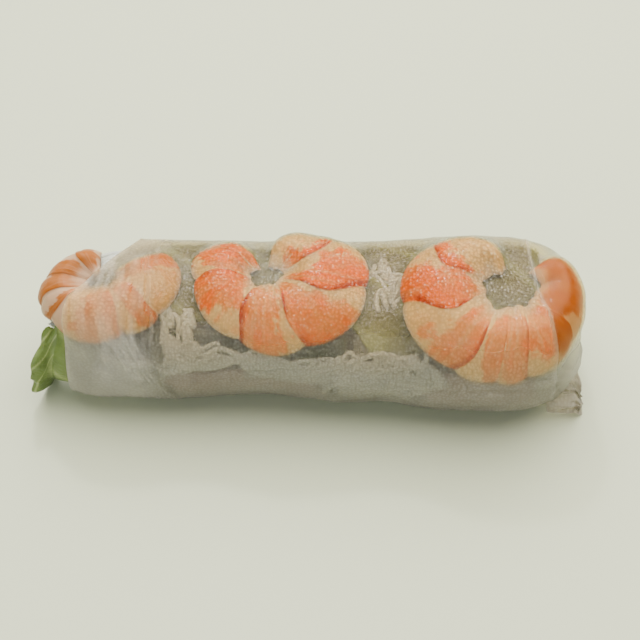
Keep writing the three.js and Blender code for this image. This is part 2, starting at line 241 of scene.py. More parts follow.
def leaf_front(s):
    """The theta of the leaf's front edge. It comes down to the plate at the open end."""
    return 48.0 - 24.0 * smooth(10.0, 18.0, s) - 112.0 * smooth(-47.0, -60.0, s)


def leaf_back(s):
    """The theta of its back edge, which draws back from the open end."""
    return LEAF_BACK - 118.0 * smooth(-42.0, -57.0, s)


def cover(s, theta):
    """How deep the layers over the vermicelli reach at a place."""
    depth = np.zeros_like(s)
    leaf = (theta > leaf_front(s) - LEAF_MARGIN) & (theta < leaf_back(s) + LEAF_MARGIN)
    depth[leaf] = LEAF_LOW
    along, around = BEEF_MARGIN_ALONG, BEEF_MARGIN_ROUND
    for cut in BEEF_SLICES.values():
        inside = (s > cut["start"] - along) & (s < cut["end"] + along)
        inside &= (theta > cut["front"] - around) & (theta < cut["back"] + around)
        depth[inside] = BEEF_LOW
    along, around = CUCUMBER_MARGIN_ALONG, CUCUMBER_MARGIN_ROUND
    baton = (s > CUCUMBER_START - along) & (s < CUCUMBER_END + along)
    baton &= (theta > CUCUMBER_FRONT - around) & (theta < CUCUMBER_BACK + around)
    depth[baton] = CUCUMBER_LOW
    return depth


# Some strands have strayed over the leaf and the cucumber and are pressed against the paper. Each
# cluster has its route as (s, theta), how far its strands stray from that, and how many they are.
LOOSE_STRANDS = [
    ([(-35, 64), (-33.5, 44), (-34, 22)], 1.0, 4),
    ([(-30, 56), (-31, 40), (-28, 20)], 1.2, 4),
    ([(-33, 30), (-29, 26), (-24, 22)], 2.4, 6),
    ([(-34, 12), (-26, 17), (-17, 22), (-8, 19)], 1.8, 7),
    ([(-12, 16), (0, 11), (14, 6), (27, 0)], 4.5, 10),
    ([(5, 10), (12, 17), (20, 15), (29, 8)], 4.0, 10),
    ([(8, -6), (16, 2), (24, -3), (31, 4)], 3.2, 9),
    ([(17, 104), (19, 92), (21, 78), (20, 66)], 2.2, 7),
    ([(27, 24), (29, 14), (33, 2)], 2.0, 5),
]
LOOSE_DEPTH, LOOSE_SWAY = 0.72, 1.3
LONG_STRANDS, END_STRANDS, CUT_ENDS = 150, 84, 90  # how many there are of each
BUNDLE_MIDDLE, BUNDLE_ACROSS, BUNDLE_UP = 17.6, 11.0, 9.6  # the oval that the cut ends fill

CORE_START, CORE_END, CORE_DEPTH = -61.0, 65.5, 3.6
STRAND_STEP, STRAND_SIDES = 1.3, 7
TURN = 6.28  # radians
random = np.random.default_rng(11)


def strand_path(start, end, theta, sway, depth):
    """A strand's way along the roll, swaying, and dipping under the pieces that lie over it."""
    s = np.linspace(start, end, max(8, int(abs(end - start) / STRAND_STEP)))
    slow, fast = random.uniform(0, TURN, 2)
    angle = theta + sway * np.sin(0.06 * s + slow) + 0.4 * sway * np.sin(0.19 * s + fast)
    under = np.maximum(depth + 0.25 * np.sin(0.3 * s + fast), cover(s, angle) + STRAND_RADIUS + 0.3)
    for _ in range(4):
        under[1:-1] = np.maximum(under[1:-1], (under[:-2] + 2 * under[1:-1] + under[2:]) / 4)
    return on_roll(s, angle, -under)


def strand_tube(bm, path):
    """One strand: a grid of its length and girth, wrapped round its path."""
    radius = STRAND_RADIUS * random.uniform(0.85, 1.1)
    forward = np.gradient(path, axis=0)
    forward /= np.linalg.norm(forward, axis=1, keepdims=True)
    aslant = [0.0, 0.31, 0.95]  # a direction that hardly any strand takes
    side = np.cross(forward, aslant)
    side /= np.linalg.norm(side, axis=1, keepdims=True)
    other = np.cross(side, forward)
    made = bmesh.ops.create_grid(bm, x_segments=len(path) - 1, y_segments=STRAND_SIDES, size=0.5)
    for vert in made["verts"]:
        i = round((vert.co.x + 0.5) * (len(path) - 1))
        angle = 2 * math.pi * round((vert.co.y + 0.5) * STRAND_SIDES) / STRAND_SIDES
        end = 0.0 if i in (0, len(path) - 1) else 1.0
        out = side[i] * math.cos(angle) + other[i] * math.sin(angle)
        vert.co = (Vector(path[i] + out * radius * end) + SHIFT) * MM


def vermicelli_core(u, v):
    """The pressed middle of the bundle, which hardly shows between the strands."""
    s = mix(CORE_START, CORE_END, u)
    theta = 360.0 * v
    ends = 5.0 * (1 - np.sqrt(np.clip(1 - (2 * u - 1) ** 40, 0, 1)))
    deep = np.maximum(CORE_DEPTH, cover(s, theta) + 0.6) + ends
    shape = on_roll(s, theta, -deep - 0.3 * np.sin(0.9 * theta) * np.sin(0.12 * s + theta * 0.05))
    return close_ends(shape, u), {}


bundle = bent_grid("vermicelli_strands", 110, 90, vermicelli_core)
bm = bmesh.new()
bm.from_mesh(bundle.data)
for k in range(LONG_STRANDS):
    length = random.uniform(28, 95)
    start = random.uniform(-62, 66 - length)
    theta = -84 + 2.4 * k + random.uniform(-2, 2)
    path = strand_path(start, start + length, theta, random.uniform(2, 9), random.uniform(0.95, 2.4))
    strand_tube(bm, path)
for route, stray, count in LOOSE_STRANDS:
    turns = np.array(route, float)
    at = np.linspace(0, 1, len(turns))
    for k in range(count):
        share = np.linspace(0, 1, 30)
        bend, drift = random.uniform(0, TURN, 2)
        curl = random.uniform(0.6, 1.4)
        spread = stray * random.uniform(-1, 1, 2)
        s = np.interp(smooth(0, 1, share), at, turns[:, 0]) + spread[0]
        theta = np.interp(share, at, turns[:, 1]) + 2.2 * spread[1]
        s = s + LOOSE_SWAY * np.sin(9 * curl * share + bend)
        theta = theta + 4.0 * LOOSE_SWAY * np.sin(13 * curl * share + drift)
        under = LOOSE_DEPTH + random.uniform(-0.15, 0.25) + 0.1 * np.sin(7 * share + drift)
        strand_tube(bm, on_roll(s, theta, -under))
# Strands turn in over both ends of the bundle, first over the open end and then over the closed one.
for k in range(2 * END_STRANDS):
    theta = 4.3 * k + random.uniform(-2.5, 2.5)
    if k < END_STRANDS:
        s = np.linspace(-46.0 - random.uniform(0, 5), -67.0 - random.uniform(0, 3), 20)
    else:
        s = np.linspace(56.0 + random.uniform(0, 4), 81.4 - random.uniform(0, 3), 20)
    slow = random.uniform(0, TURN)
    depth = np.maximum(2.7, cover(s, np.full_like(s, theta)) + 1.1) + 0.4 * np.sin(0.25 * s + slow)
    strand_tube(bm, on_roll(s, theta + 7.0 * np.sin(0.22 * s + slow), -depth))
# In the middle of the open end, the strands inside the bundle show their cut ends.
for k in range(CUT_ENDS):
    turn, out = random.uniform(0, TURN), math.sqrt(random.uniform(0, 1))
    slow, fast = random.uniform(0, TURN, 2)
    x = np.linspace(-50.0, -64.5 - random.uniform(0, 2.5), 14)
    y = BUNDLE_ACROSS * out * math.cos(turn) + 0.9 * np.sin(0.35 * x + slow)
    z = BUNDLE_MIDDLE + BUNDLE_UP * out * math.sin(turn) + 0.9 * np.sin(0.3 * x + fast)
    strand_tube(bm, np.stack([x, y, z], axis=-1))
bmesh.ops.remove_doubles(bm, verts=bm.verts, dist=TINY)
bmesh.ops.recalc_face_normals(bm, faces=bm.faces)
bm.to_mesh(bundle.data)
bm.free()
bundle.data.shade_smooth()


def boiled_rice_noodle(tree):
    """Boiled rice starch: white, a little translucent and wet."""
    place = add(tree, "TexCoord").outputs["Object"]
    clouds = add(tree, "TexNoise", {"Vector": place, "Scale": 1 / (6 * MM), "Detail": 2.0})
    tint = add(tree, "Mix", {"Factor": clouds.outputs["Fac"], "A": colour("#d4d8cd"),
                             "B": colour("#aaaea2")}, data_type="RGBA")
    return add(tree, "BsdfPrincipled", {
        "Base Color": tint.outputs["Result"], "Roughness": 0.32, "IOR": 1.38,
        "Subsurface Weight": 0.25, "Subsurface Radius": (1.0, 0.9, 0.75),
        "Subsurface Scale": 0.8 * MM}).outputs["BSDF"]


dress(bundle, finish("boiled_rice_noodle", boiled_rice_noodle), ["vermicelli"])


# ---- Beef ---------------------------------------------------------------------------------------
# Two thin slices of boiled beef lie along the front, cut across the grain. The meat has gone a dull
# grey-brown, with pinker fibres where it is wet, and its edges are ragged from the knife.

BEEF_THICKNESS, BEEF_DEPTH = 2.0, 1.5


def beef_shape(cut):
    """Makes place(u, v) for a slice."""
    def place(u, v):
        w, side = two_sides(v)
        ragged = np.sin(7 * u + cut["start"])
        s = mix(cut["start"], cut["end"], u) + 1.5 * np.sin(9 * w + cut["end"]) + 0.4 * np.sin(31 * w)
        theta = mix(cut["front"], cut["back"], w) + 3.6 * ragged * (w - 0.3) + 0.8 * np.sin(41 * u)
        edge = (1 - (2 * w - 1) ** 8) * (1 - (2 * u - 1) ** 16)
        grain = 0.12 * np.sin(1.9 * s + 0.5 * np.sin(0.3 * theta)) * (side > 0)
        h = -BEEF_DEPTH + side * BEEF_THICKNESS / 2 * np.sqrt(np.clip(edge, 0, 1)) + grain * edge
        drawn_out = np.stack([s * 2.5, theta * 0.1, s * 0], axis=-1)
        return on_roll(s, theta, h), {"fibre": 0.5 + 0.5 * roughly(drawn_out, 1.5)}
    return place


def boiled_beef(tree):
    """Boiled lean beef: grey-brown, with fibres about 0.6 mm wide and a wet gloss."""
    place = add(tree, "TexCoord").outputs["Object"]
    fibre = add(tree, "Attribute", attribute_name="fibre").outputs["Fac"]
    patches = add(tree, "TexNoise", {"Vector": place, "Scale": 1 / (5 * MM), "Detail": 4.0})
    lean = add(tree, "Mix", {"Factor": patches.outputs["Fac"], "A": colour("#9a8a82"),
                             "B": colour("#b4aaa6")}, data_type="RGBA")
    grained = add(tree, "Mix", {"Factor": fibre, "A": colour("#887870"),
                                "B": lean.outputs["Result"]}, data_type="RGBA")
    rough = add(tree, "Bump", {"Height": patches.outputs["Fac"], "Strength": 0.4, "Distance": 0.3 * MM})
    return add(tree, "BsdfPrincipled", {
        "Base Color": grained.outputs["Result"], "Roughness": 0.45, "IOR": 1.4,
        "Normal": rough.outputs["Normal"]}).outputs["BSDF"]


beef_finish = finish("boiled_beef", boiled_beef)
for node_name, cut in BEEF_SLICES.items():
    dress(bent_grid(node_name + "_slice", 90, 64, beef_shape(cut)), beef_finish, [node_name])


# ---- Cucumber -----------------------------------------------------------------------------------
# A baton cut lengthwise from a cucumber lies along the front, with its skin outwards. The skin is
# dark green with paler streaks, and the cut flesh behind it is watery and pale.

# Round the baton: its skin, its back side, its underside and its front side end at these shares.
BATON_SIDES = [0.42, 0.58, 0.84, 1.0]
BATON_ROUNDING = 0.5  # how far the skin's edges turn down


def cucumber_shape(u, v):
    s = mix(CUCUMBER_START, CUCUMBER_END, u)
    front, back, deep = CUCUMBER_FRONT, CUCUMBER_BACK, CUCUMBER_DEPTH
    theta = np.interp(v, [0.0, *BATON_SIDES], [front, back, back, front, front])
    across = smooth(0.0, 1.0, v / BATON_SIDES[0])
    brink = -SKIN_DEPTH - BATON_ROUNDING
    h = np.where(v < BATON_SIDES[0], -SKIN_DEPTH - BATON_ROUNDING * (2 * across - 1) ** 8,
                 np.interp(v, BATON_SIDES, [brink, -deep, -deep, brink]))
    skin = (v < BATON_SIDES[0]) | (v > 1 - TINY)
    return close_ends(on_roll(s, theta, h), u), {"skin": skin.astype(float)}


def cut_cucumber(tree):
    """Cucumber: a waxy dark skin with streaks about 2 mm apart, and wet pale flesh."""
    place = add(tree, "TexCoord").outputs["Object"]
    skin = add(tree, "Attribute", attribute_name="skin").outputs["Fac"]
    streaked = add(tree, "Mapping", {"Vector": place, "Scale": (0.12, 1.0, 1.0)})
    streaks = add(tree, "TexNoise", {"Vector": streaked.outputs["Vector"], "Scale": 1 / (2 * MM),
                                     "Detail": 3.0})
    green = add(tree, "Mix", {"Factor": streaks.outputs["Fac"], "A": colour("#1e2a1e"),
                              "B": colour("#465440")}, data_type="RGBA")
    cut = add(tree, "Mix", {"Factor": skin, "A": colour("#c9d0a4"), "B": green.outputs["Result"]},
              data_type="RGBA")
    return add(tree, "BsdfPrincipled", {
        "Base Color": cut.outputs["Result"], "Roughness": 0.3, "IOR": 1.4}).outputs["BSDF"]


baton = bent_grid("cucumber_baton", 80, 100, cucumber_shape)
dress(baton, finish("cut_cucumber", cut_cucumber), ["cucumber"])


# ---- Lettuce ------------------------------------------------------------------------------------
# One soft lettuce leaf lies under the shrimps along the roll. Its frilled tip sticks out of the open
# end and is crumpled against the plate, darker green than the pale, ribbed leaf inside.

LEAF_DEPTH, LEAF_WAVE = 1.35, 0.35
TIP_SHARE = 0.3  # of the leaf's rows
LEAF_TIP, LEAF_FLARE, LEAF_DROOP = 6.5, 0.26, 3.0  # out of the end, opening by a share, and down
TIP_SPREAD = 6.0  # degrees at each side
FOOT_THETA, FOOT_SPAN = -42.0, 42.0  # the leaf's foot, which leans out to the plate in front


def leaf_shape(u, v):
    w, side = two_sides(v)
    tip = np.clip(1 - u / TIP_SHARE, 0, 1)
    s = np.where(tip > 0, LEAF_START, mix(LEAF_START, LEAF_END, (u - TIP_SHARE) / (1 - TIP_SHARE)))
    theta = mix(leaf_front(s) - TIP_SPREAD * tip, leaf_back(s) + TIP_SPREAD * tip, w)
    frill = tip * (0.85 * np.sin(2 * np.pi * (2.6 * w + 0.5 * tip))
                   + 0.4 * np.sin(2 * np.pi * (5.3 * w - 0.6 * tip)))
    ribs = np.abs(np.sin(0.16 * s + 0.06 * theta)) ** 6 * np.where(tip > 0, 0.0, 1.0)
    wave = LEAF_WAVE * np.sin(0.27 * s) * np.cos(0.11 * theta) + frill + 0.15 * ribs
    body = np.clip((1 - (2 * w - 1) ** 30) * (1 - (2 * u - 1) ** 60), 0, 1) ** 0.5
    thickness = mix(1.1, 0.45, smooth(0.0, 0.6, tip))
    foot = bump(theta, FOOT_THETA, FOOT_SPAN)
    spread = (2.2 * smooth(-44, -58, s) + 2.4 * smooth(-57, LEAF_START, s)) * foot
    points = on_roll(s, theta, -LEAF_DEPTH + wave + spread + side * thickness / 2 * body)
    outwards = 1 + LEAF_FLARE * smooth(0.0, 0.8, tip) * mix(1.0, 0.4, foot)
    centre = half_width(s) * HEIGHT_SHARE
    # the tip's edge is uneven, and reaches out less near the plate
    edge = mix(0.6 - 0.25 * w, 0.95, np.sin(np.pi * np.clip(w, 0, 1)) ** 0.5)
    edge = edge + 0.03 * np.sin(17 * w) + 0.015 * np.sin(41 * w)
    edge = edge * (1 - 0.42 * bump(w, 0.14, 0.17))
    points[:, 0] -= LEAF_TIP * tip * edge
    points[:, 1] *= outwards
    dropped = centre + (points[:, 2] - centre) * outwards - LEAF_DROOP * smooth(0.0, 0.6, tip)
    points[:, 2] = np.where(tip > 0, np.maximum(dropped, 0.5 + (side + 1) * 0.25), points[:, 2])
    fan = 2 * np.pi * (1.6 * w + 0.55 * tip + 0.12 * np.sin(9 * w))
    veins = smooth(0.3, 0.1, np.abs(np.sin(fan)))
    # pale: the ribs inside, a light patch between two shrimps, and where the tip leaves the paper
    pale = np.maximum(0.5 * ribs ** 3, bump(s, 15.0, 6.0) * bump(theta, 33.0, 11.0))
    root = 0.5 * bump(tip, 0.0, 0.2) * bump(w, 0.42, 0.2)
    return points, {"tip": np.maximum(smooth(0.0, 0.3, tip), smooth(-56.0, -61.0, s)),
                    "vein": np.where(tip > 0, np.maximum(0.6 * veins, root), pale)}


def lettuce_leaf(tree):
    """Lettuce: a soft green blade with pale veins, puckered about every 1.6 mm, wet and glossy."""
    place = add(tree, "TexCoord").outputs["Object"]
    tip = add(tree, "Attribute", attribute_name="tip").outputs["Fac"]
    vein = add(tree, "Attribute", attribute_name="vein").outputs["Fac"]
    cells = add(tree, "TexVoronoi", {"Vector": place, "Scale": 1 / (1.6 * MM)},
                feature="DISTANCE_TO_EDGE")
    mottle = add(tree, "TexNoise", {"Vector": place, "Scale": 1 / (4 * MM), "Detail": 4.0})
    inner = add(tree, "Mix", {"Factor": mottle.outputs["Fac"], "A": colour("#50562e"),
                              "B": colour("#727446")}, data_type="RGBA")
    outer = add(tree, "Mix", {"Factor": mottle.outputs["Fac"], "A": colour("#485a26"),
                              "B": colour("#728740")}, data_type="RGBA")
    blade = add(tree, "Mix", {"Factor": tip, "A": inner.outputs["Result"],
                              "B": outer.outputs["Result"]}, data_type="RGBA")
    veined = add(tree, "Mix", {"Factor": vein, "A": blade.outputs["Result"],
                               "B": colour("#a0ac6a")}, data_type="RGBA")
    puckers = add(tree, "Bump", {"Height": cells.outputs["Distance"], "Strength": 0.5,
                                 "Distance": 0.4 * MM})
    return add(tree, "BsdfPrincipled", {
        "Base Color": veined.outputs["Result"], "Roughness": 0.38, "IOR": 1.42,
        "Normal": puckers.outputs["Normal"]}).outputs["BSDF"]


leaf = bent_grid("lettuce_leaf", 260, 150, leaf_shape)
dress(leaf, finish("lettuce_leaf", lettuce_leaf), ["lettuce"])


# ---- Shrimps ------------------------------------------------------------------------------------
# Three boiled shrimps, each split along its back and laid cut side down, so that the curled half shows
# its segments. Boiling turns the shell side orange, deepest along each segment's hind edge, and leaves
# white flesh in a wedge where the next segment slides under.

# s and round place the middle of the curl, and belly is the radius of the hole in it. reach is how far
# the back lies from the middle at the angles of ends, from the head to the tail. hind gives the angle
# of each segment's hind edge, and white the share of the segment that is white flesh, at each of ACROSS.
# carved is how high the segments stand at the angles of ends. rim is the pale share along the belly, and
# dry and shade
# how far the meat is darkened to amber: dried meat, and on the left shrimp partly painted shade. blush is
# the pigment left in the white flesh. tone is how deep the orange of each segment is, and red how strong
# the line along its hind edge.
ACROSS = [0.0, 0.25, 0.5, 0.75, 1.0]  # of the way from the belly to the back
SHRIMPS = {
    "shrimp_left": dict(
        s=-50.5, round=-3.0, belly=3.0, rim=0.14, dry_and_shade=0.48, blush=0.3,
        ends=[95, 130, 165, 212, 250, 295, 335, 400],
        reach=[15, 17.5, 19, 20, 20, 18.2, 19, 18.5],
        hind=[(128, 128, 124, 116, 112), (166, 168, 166, 160, 156), (212, 208, 200, 202, 206),
              (225, 228, 231, 230, 227), (297, 298, 296, 292, 290), (336, 334, 326, 322, 322)],
        white=[(0.3, 0.2, 0.15, 0.3, 0.4), (0.2, 0.1, 0.3, 0.5, 0.6), (0.1, 0.03, 0.05, 0.2, 0.2),
               (0.5, 0.6, 0.75, 0.6, 0.4), (0.4, 0.38, 0.36, 0.4, 0.45), (0.1, 0.1, 0.2, 0.4, 0.5),
               (0.2, 0.2, 0.35, 0.6, 0.6)],
        tone=[0.5, 0.4, 0.4, 0.35, 0.3, 0.3, 0.3], red=[0.3, 0.4, 0.6, 0.5, 0.2, 0.6, 0.0]),
    "shrimp_middle": dict(
        s=-10.4, round=-0.8, belly=3.7, rim=0.08, dry_and_shade=0.0, blush=0.25,
        ends=[86, 30, -26, -71, -116, -168, -215, -243],
        reach=[19, 25.5, 26.8, 23.6, 20.8, 19, 20, 17],
        hind=[(24, 20, 24, 34, 50), (-20, -26, -28, -17, -8), (-48, -62, -69, -66, -62),
              (-122, -116, -119, -112, -107), (-168, -168, -178, -178, -172), (-215,) * 5],
        white=[(0.75, 0.6, 0.8, 0.85, 0.78), (0.8, 0.6, 0.08, 0.24, 0.65), (0.5, 0.17, 0.05, 0.2, 0.4),
               (0.15, 0.15, 0.08, 0.17, 0.28), (0.2, 0.1, 0.08, 0.3, 0.54), (0.3, 0.1, 0.05, 0.32, 0.42),
               (0.3, 0.1, 0.0, 0.0, 0.0)],
        tone=[1.0, 0.9, 0.62, 0.5, 0.85, 0.8, 0.8], red=[0.8, 0.9, 1.0, 1.0, 0.6, 0.5, 0.0]),
    "shrimp_right": dict(
        s=51.0, round=-5.0, belly=6.5, rim=0.1, dry_and_shade=0.0, blush=0.12,
        ends=[103, 150, 194, 235, 262, 282, 338, 410],
        reach=[17.5, 26.5, 28.5, 26.5, 25.5, 24.5, 26, 25], carved=[1, 1, 0.8, 0.4, 0.2, 0.2, 0.8, 1],
        hind=[(162, 170, 170, 152, 141), (195, 210, 207, 194, 190), (238, 241, 243, 241, 236),
              (262,) * 5, (290, 288, 284, 281, 281), (318, 322, 328, 323, 318)],
        white=[(0.9, 0.81, 0.73, 0.73, 0.7), (0.3, 0.05, 0.02, 0.3, 0.43), (0.5, 0.13, 0.15, 0.44, 0.58),
               (0.35, 0.1, 0.15, 0.35, 0.75), (0.2, -0.1, -0.1, 0.0, 0.5), (0.15, -0.1, -0.1, 0.4, 0.7),
               (0.1, 0.05, 0.05, 0.15, 0.2)],
        tone=[1.0, 0.95, 0.4, 0.2, 0.15, 0.5, 0.7], red=[0.7, 0.9, 0.9, 0.1, 0.6, 0.7, 0.0]),
}
SHRIMP_THICKNESS = 4.4
GAP = 0.3  # between the filling and the cut side
NOTCH = 1.4  # how far the outline of the back dips between two segments
SHELL_STEP = 0.4  # from the end of one segment's shell down to the next one
PLUMPNESS = 0.2
TAIL_THICKNESS = 0.72  # of the head's
END_ROUNDING = 0.08  # of the curl, at the head and at the tail


def hind_edges(shrimp, t):
    """The angles of the segments' edges, from the head's to the tail's, at each t."""
    table = [[shrimp["ends"][0]] * 5, *shrimp["hind"], [shrimp["ends"][-1]] * 5]
    near = [np.clip(t + off, 0, 1) for off in (-0.12, -0.04, 0.04, 0.12)]
    return np.array([np.mean([np.interp(at, ACROSS, row) for at in near], axis=0) for row in table])


def segment_of(edges, angle):
    """The number of the segment that each angle is in, and how far through it."""
    way = np.sign(edges[-1] - edges[0])
    index = np.sum((angle - edges[1:-1]) * way > 1e-9, axis=0)
    first = np.take_along_axis(edges, index[None], 0)[0]
    last = np.take_along_axis(edges, index[None] + 1, 0)[0]
    return index, np.clip((angle - first) / (last - first), 0, 1)


def shrimp_reach(shrimp, angle):
    """How far the back lies from the middle of the curl."""
    ends, reach = np.array(shrimp["ends"], float), np.array(shrimp["reach"], float)
    index, through = segment_of(ends[:, None] + np.zeros_like(angle).ravel(), np.ravel(angle))
    back = mix(reach[index], reach[index + 1], smooth(0, 1, through)).reshape(np.shape(angle))
    _, within = segment_of(hind_edges(shrimp, np.ones_like(angle)), angle)
    return back - NOTCH * (1 - np.sqrt(np.clip(np.sin(np.pi * within), 0, 1)))


def shrimp_belly(shrimp, angle):
    """How far the belly's edge lies from the middle of the curl."""
    uneven = 0.14 * np.sin(np.radians(2 * angle + 40)) + 0.08 * np.sin(np.radians(5 * angle))
    return shrimp["belly"] * (1 + uneven + 0.05 * np.sin(np.radians(11 * angle)))


def shrimp_height(shrimp, angle, t, through):
    ends = shrimp["ends"]
    share = np.clip((angle - ends[0]) / (ends[-1] - ends[0]), 0, 1)
    dome = np.sin(np.pi * np.clip(t, 0, 1) ** 0.8) ** 0.65 * mix(0.4, 1.0, smooth(0.0, 0.35, t))
    rounding = np.clip(np.minimum(share, 1 - share) / END_ROUNDING, 0, 1)
    end = np.sqrt(1 - (1 - rounding) ** 2)
    carved = np.interp(angle, ends, shrimp["carved"]) if "carved" in shrimp else 1.0
    shell = carved * (SHELL_STEP * (through - 0.5) + PLUMPNESS * np.sin(np.pi * through))
    return GAP + (SHRIMP_THICKNESS * mix(1, TAIL_THICKNESS, share) + shell) * dome * end


def shrimp_over(s, theta):
    """How high the shrimps stand over the filling at each place, 0 between them."""
    height = np.zeros_like(s)
    for shrimp in SHRIMPS.values():
        across = s - shrimp["s"]
        up = np.radians(theta - CREST) * GIRTH_RADIUS - shrimp["round"]
        first, last = min(shrimp["ends"]), max(shrimp["ends"])
        angle = first + np.mod(np.degrees(np.arctan2(up, across)) - first, 360)
        inside = np.clip(angle, first, last)
        belly = shrimp_belly(shrimp, inside)
        t = (np.hypot(across, up) - belly) / (shrimp_reach(shrimp, inside) - belly)
        _, through = segment_of(hind_edges(shrimp, np.clip(t, 0, 1)), inside)
        here = shrimp_height(shrimp, inside, t, through)
        height = np.maximum(height, np.where((t > 0) & (t < 1) & (angle <= last), here, 0))
    return height


def open_edge(theta):
    """Where the sheet ends at the open end, which is further in behind."""
    return -58.7 + 14.5 * bump(theta, 140, 58) + 1.0 * bump(theta, -38, 32)


def top_turn_edge(theta):
    """Where the sheet's upper turn ends, near the folded end."""
    return mix(64.4, 56.0, smooth(-20, 110, theta))


def shrimp_shape(shrimp):
    """Makes place(u, v) for a half shrimp, and colours it."""
    def place(u, v):
        w, side = two_sides(v)
        count = len(shrimp["ends"]) - 1
        steps = u * count
        segment = np.minimum(np.floor(steps + TINY), count - 1).astype(int)
        through = np.clip(steps - segment, 0, 1)
        t = (1 - np.cos(np.pi * w)) / 2
        edges = hind_edges(shrimp, t)
        first, last = (np.take_along_axis(edges, segment[None] + k, 0)[0] for k in (0, 1))
        angle = mix(first, last, through)
        radius = mix(shrimp_belly(shrimp, angle), shrimp_reach(shrimp, angle), t)
        s = shrimp["s"] + radius * np.cos(np.radians(angle))
        theta = CREST + np.degrees((shrimp["round"] + radius * np.sin(np.radians(angle))) / GIRTH_RADIUS)
        rim = (w < TINY) | (w > 1 - TINY) | (u < TINY) | (u > 1 - TINY)
        spots = np.stack([s, theta * DEGREE, np.full_like(s, shrimp["s"])], axis=-1)
        h = shrimp_height(shrimp, angle, t, through)
        h = h + 0.2 * roughly(spots, 5.0) + 0.12 * roughly(spots, 2.0, 9.0)
        h = np.where((side > 0) & ~rim, h, GAP)
        ragged = roughly(spots, 4.0, 7.0) + 0.7 * roughly(spots, 1.8, 3.0) + 0.5 * roughly(spots, 0.8, 5.0)
        streaks = roughly(np.stack([0.3 * angle, 1.5 * t, np.full_like(t, shrimp["s"])], axis=-1), 1.0)
        ragged = ragged + 0.7 * streaks
        flesh = [np.interp(t, ACROSS, row) for row in shrimp["white"]]
        wedge = np.take_along_axis(np.array(flesh), segment[None], 0)[0]
        orange = smooth(wedge - 0.05, wedge + 0.07, through + 0.2 * ragged)
        orange = orange * smooth(shrimp["rim"] - 0.08, shrimp["rim"] + 0.12, t + 0.08 * ragged)
        blush = shrimp["blush"] * smooth(0.1, 0.7, roughly(spots, 3.5, 17.0) + 0.3 * ragged)
        orange = np.maximum(orange * (1 - 0.3 * smooth(0.0, 0.5, streaks)), blush)
        tone = np.array(shrimp["tone"])[segment] + 0.4 * smooth(0.5, 1.0, through) - 0.15
        tone = tone * mix(0.6, 1.0, smooth(0.2, 0.5, t))
        tone = tone + 0.6 * roughly(spots, 4.5, 23.0) + 0.3 * roughly(spots, 1.6, 29.0)
        orange = orange * mix(0.68, 1.0, np.clip(tone, 0, 1))
        hind = smooth(0.86, 0.97, through + 0.04 * ragged) * smooth(0.1, 0.3, t)
        red = np.array(shrimp["red"])[segment] * hind * smooth(-0.6, 0.1, roughly(spots, 5.0, 41.0))
        # bare and shaded: out of the paper, or under one turn only, and over all of the left shrimp a
        # share of painted shade
        bare_and_shaded = smooth(0.6, -0.6, s - open_edge(theta)) + smooth(-0.3, 0.3, s - top_turn_edge(theta))
        bare_and_shaded = np.maximum(bare_and_shaded, shrimp["dry_and_shade"])
        return on_roll(s, theta, h), {"orange": orange, "tone": np.clip(tone, 0, 1), "red": red,
                                      "bare_and_shaded": bare_and_shaded}
    return place


def boiled_shrimp(tree, gloss=0.06, roughness=0.5):
    """Boiled shrimp: opaque white flesh under orange pigment, mottled at about 1 mm, wet."""
    place = add(tree, "TexCoord").outputs["Object"]
    orange, tone, red, bare_and_shaded = (add(tree, "Attribute", attribute_name=key).outputs["Fac"]
                               for key in ("orange", "tone", "red", "bare_and_shaded"))
    speckle = add(tree, "TexNoise", {"Vector": place, "Scale": 1 / (0.7 * MM), "Detail": 3.0})
    cloud = add(tree, "TexNoise", {"Vector": place, "Scale": 1 / (5 * MM), "Detail": 2.0})
    flesh = add(tree, "Mix", {"Factor": cloud.outputs["Fac"], "A": colour("#e6d6b8"),
                              "B": colour("#d4bf9e")}, data_type="RGBA")
    grain = add(tree, "MapRange", {"Value": speckle.outputs["Fac"], "From Min": 0.3, "From Max": 0.7,
                                   "To Min": 0.4, "To Max": -0.4})
    depth = add(tree, "Math", {0: tone, 1: grain.outputs["Result"]}, operation="ADD", use_clamp=True)
    pigment = add(tree, "Mix", {"Factor": depth.outputs[0], "A": colour("#da7c30"),
                                "B": colour("#ee7404")}, data_type="RGBA")
    banded = add(tree, "Mix", {"Factor": orange, "A": flesh.outputs["Result"],
                               "B": pigment.outputs["Result"]}, data_type="RGBA")
    edged = add(tree, "Mix", {"Factor": red, "A": banded.outputs["Result"], "B": colour("#a63406")},
                data_type="RGBA")
    # out of the paper and at the open end, the meat has dried to a darker amber; on the left shrimp this
    # darker amber is partly painted shade
    amber_share = add(tree, "MapRange", {"Value": orange, "From Min": 0.0, "From Max": 0.8,
                                   "To Min": 0.6, "To Max": 0.88})
    dried_and_shaded = add(tree, "Math", {0: bare_and_shaded, 1: amber_share.outputs["Result"]}, operation="MULTIPLY")
    meat = add(tree, "Mix", {"Factor": dried_and_shaded.outputs[0], "A": edged.outputs["Result"],
                             "B": colour("#8c4e12")}, data_type="RGBA")
    ripple = add(tree, "Bump", {"Height": speckle.outputs["Fac"], "Strength": 0.3, "Distance": 0.2 * MM})
    return add(tree, "BsdfPrincipled", {
        "Base Color": meat.outputs["Result"], "Roughness": roughness, "IOR": 1.35,
        "Specular IOR Level": gloss,
        "Subsurface Weight": 0.1, "Subsurface Radius": (1.0, 0.5, 0.3),
        "Subsurface Scale": 1.0 * MM, "Normal": ripple.outputs["Normal"]}).outputs["BSDF"]


def bare_boiled_shrimp(tree):
    """The same meat out of the paper, where its wet surface shines."""
    return boiled_shrimp(tree, 0.16, 0.3)


shrimp_finish = finish("boiled_shrimp", boiled_shrimp)
bare_finish = finish("bare_boiled_shrimp", bare_boiled_shrimp)
SEGMENT_COLUMNS = 44

